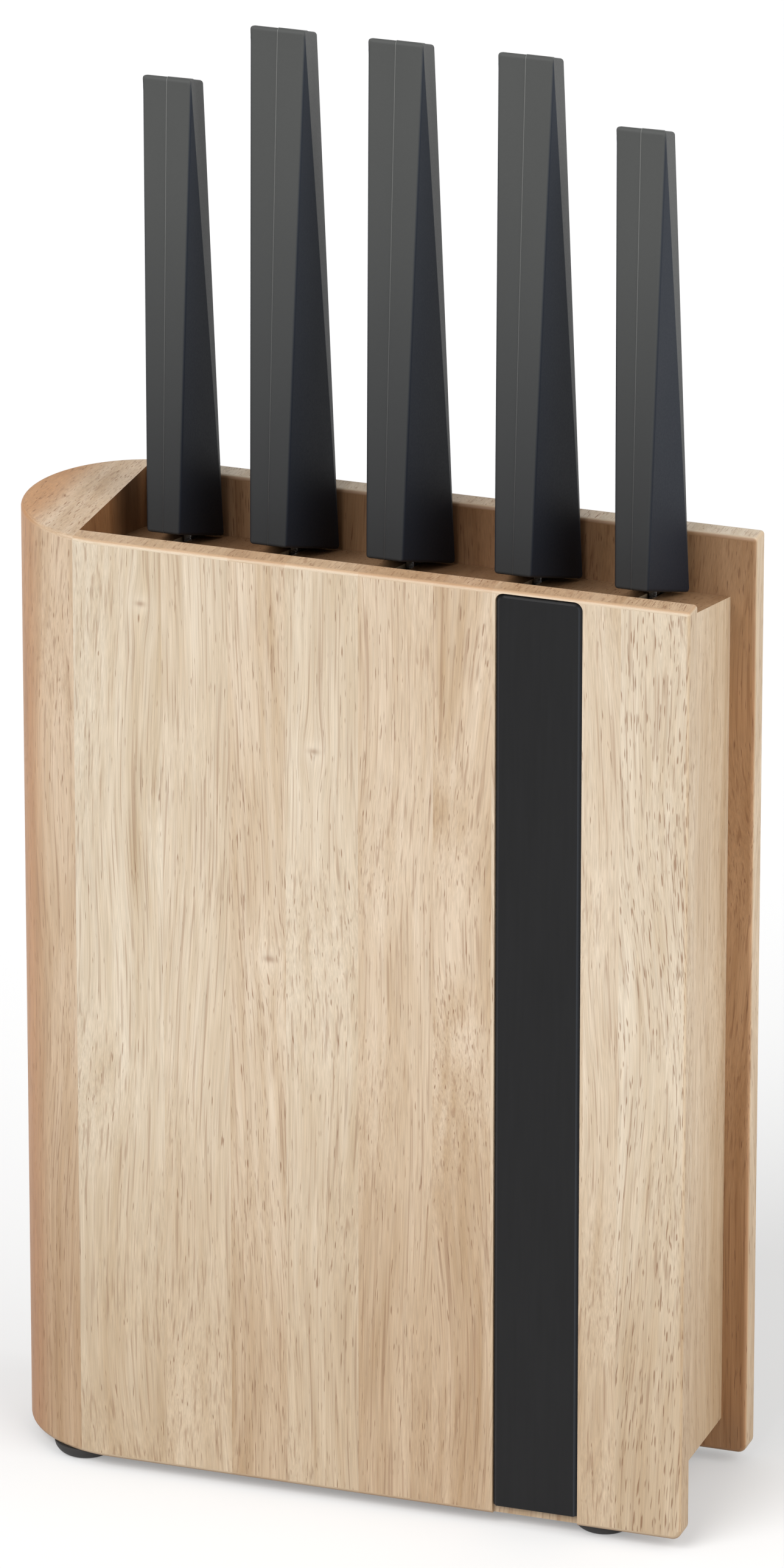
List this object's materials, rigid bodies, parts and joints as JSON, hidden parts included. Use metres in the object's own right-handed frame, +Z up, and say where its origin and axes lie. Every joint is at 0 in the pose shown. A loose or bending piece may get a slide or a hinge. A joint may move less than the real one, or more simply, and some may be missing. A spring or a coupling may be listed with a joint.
{
  "type": "knife block with knives",
  "caption": "Upright wooden knife block with a rounded end and an open end, holding kitchen knives with dark faceted handles side by side in slots.",
  "frame": {"origin": "centre of the footprint, on the surface that the feet stand on", "axes": "+X from the rounded end to the open end, +Y from the front panel to the back panel, +Z up"},
  "size_m": [0.178, 0.06, 0.3678],
  "materials": {
    "rubberwood_panel": "satin oiled",
    "rubberwood_end": "satin oiled",
    "rubberwood_core": "satin oiled",
    "strip_black": "satin",
    "adhesive_tape": "matte",
    "foot_rubber": "matte",
    "blade_steel": "fine brushed",
    "soft_touch_grip": "soft-touch matte"
  },
  "bodies": {
    "block": {"back_spacer_1": "rubberwood_core", "back_spacer_2": "rubberwood_core", "back_spacer_3": "rubberwood_core", "back_spacer_4": "rubberwood_core", "back_spacer_5": "rubberwood_core", "back_stave_1": "rubberwood_panel", "back_stave_2": "rubberwood_panel", "back_stave_3": "rubberwood_panel", "back_stave_4": "rubberwood_panel", "back_stave_5": "rubberwood_panel", "back_stave_6": "rubberwood_panel", "back_stave_7": "rubberwood_panel", "back_stave_8": "rubberwood_panel", "bottom_board": "rubberwood_core", "core_board_1": "rubberwood_core", "core_board_2": "rubberwood_core", "core_board_3": "rubberwood_core", "core_board_4": "rubberwood_core", "core_board_5": "rubberwood_core", "core_board_6": "rubberwood_core", "end_block": "rubberwood_end", "foot_back_left": "foot_rubber", "foot_back_right": "foot_rubber", "foot_front_left": "foot_rubber", "foot_front_right": "foot_rubber", "front_spacer_1": "rubberwood_core", "front_spacer_2": "rubberwood_core", "front_spacer_3": "rubberwood_core", "front_spacer_4": "rubberwood_core", "front_spacer_5": "rubberwood_core", "front_stave_1": "rubberwood_panel", "front_stave_2": "rubberwood_panel", "front_stave_3": "rubberwood_panel", "front_stave_4": "rubberwood_panel", "front_stave_5": "rubberwood_panel", "front_stave_6": "rubberwood_panel", "front_stave_7": "rubberwood_panel", "front_stave_8": "rubberwood_panel", "front_stave_9": "rubberwood_panel", "inlay_strip": "strip_black", "strip_tape": "adhesive_tape"},
    "utility_knife": {"utility_knife_blade": "blade_steel", "utility_knife_handle": "soft_touch_grip"},
    "cook_knife": {"cook_knife_blade": "blade_steel", "cook_knife_handle": "soft_touch_grip"},
    "carving_knife": {"carving_knife_blade": "blade_steel", "carving_knife_handle": "soft_touch_grip"},
    "bread_knife": {"bread_knife_blade": "blade_steel", "bread_knife_handle": "soft_touch_grip"},
    "paring_knife": {"paring_knife_blade": "blade_steel", "paring_knife_handle": "soft_touch_grip"}
  },
  "joints": [
    {"name": "utility_knife_lift", "type": "slide", "parent": "block", "child": "utility_knife", "axis": [0, 0, 1], "range_m": [0, 0.14]},
    {"name": "cook_knife_lift", "type": "slide", "parent": "block", "child": "cook_knife", "axis": [0, 0, 1], "range_m": [0, 0.216]},
    {"name": "carving_knife_lift", "type": "slide", "parent": "block", "child": "carving_knife", "axis": [0, 0, 1], "range_m": [0, 0.216]},
    {"name": "bread_knife_lift", "type": "slide", "parent": "block", "child": "bread_knife", "axis": [0, 0, 1], "range_m": [0, 0.216]},
    {"name": "paring_knife_lift", "type": "slide", "parent": "block", "child": "paring_knife", "axis": [0, 0, 1], "range_m": [0, 0.106]}
  ]
}
